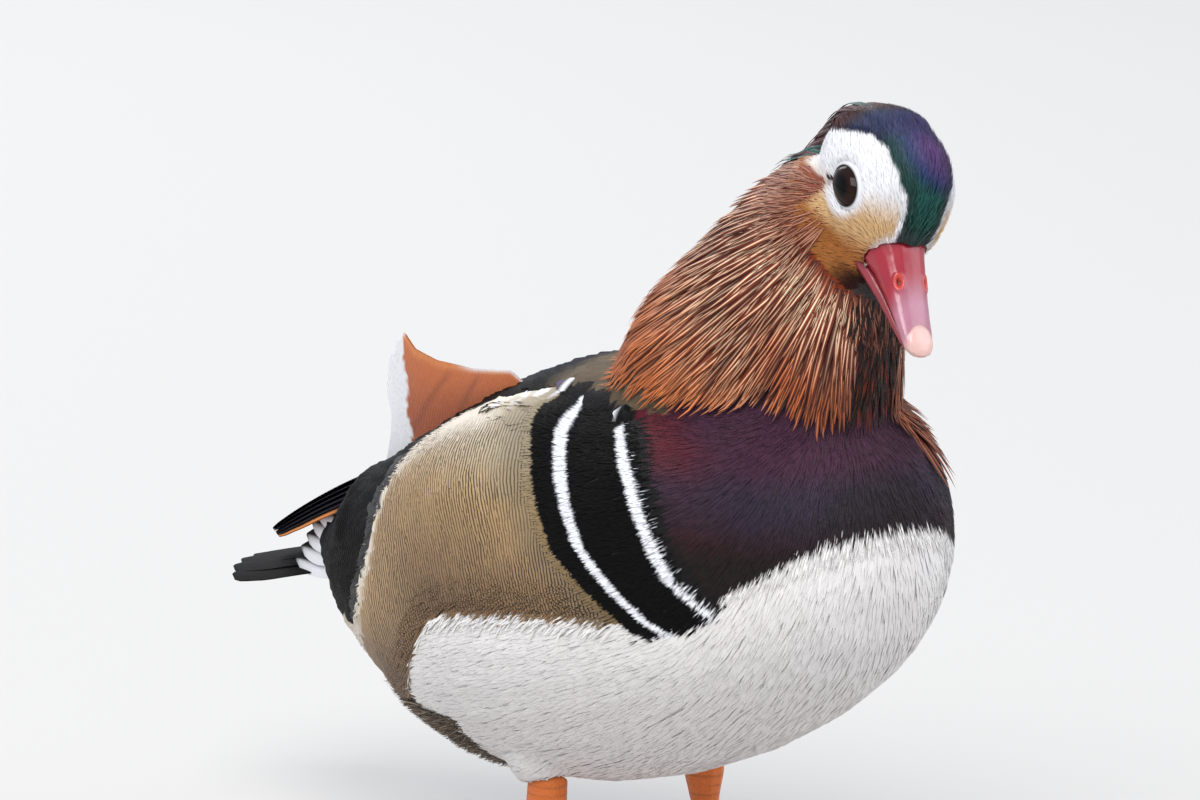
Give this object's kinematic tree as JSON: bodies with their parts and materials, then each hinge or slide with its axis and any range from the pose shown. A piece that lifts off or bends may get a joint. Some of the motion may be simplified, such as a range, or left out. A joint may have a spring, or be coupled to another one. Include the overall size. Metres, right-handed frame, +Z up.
{
  "type": "mandarin duck figure",
  "caption": "Life-size still figure of a standing drake mandarin duck, head turned and bowed to its right, raised orange sail feathers behind its back.",
  "frame": {"origin": "on the floor, under the middle of the bounding box", "axes": "+Z up; the bird faces -Y; its left side is +X"},
  "size_m": [0.1204, 0.328, 0.2591],
  "materials": {
    "body": "soft overlapping feathers, dull sheen",
    "mane": "long narrow glossy hackle feathers",
    "crest": "silky feathers with a metallic sheen",
    "head": "short dense velvety feathers",
    "wing": "smooth vaned feathers",
    "sail": "broad stiff vaned feather, satin",
    "tail": "smooth vaned feathers",
    "thigh": "downy feathers",
    "leg": "scaly skin, slight shine",
    "bill": "smooth horn, semi-gloss",
    "eye": "wet gloss",
    "claw": "horn, semi-gloss"
  },
  "bodies": {
    "root": {"head": "head", "bill_upper": "bill", "bill_lower": "bill", "eye_right": "eye", "eye_left": "eye", "crest": "crest", "trunk": "body", "neck": "mane", "mane_right": "mane", "mane_left": "mane", "wing_right": "wing", "wing_left": "wing", "sail_right": "sail", "sail_left": "sail", "tail": "tail", "thigh_right": "thigh", "shank_right": "leg", "foot_right": "leg", "claw_inner_right": "claw", "claw_middle_right": "claw", "claw_outer_right": "claw", "claw_hind_right": "claw", "thigh_left": "thigh", "shank_left": "leg", "foot_left": "leg", "claw_inner_left": "claw", "claw_middle_left": "claw", "claw_outer_left": "claw", "claw_hind_left": "claw"}
  },
  "joints": []
}
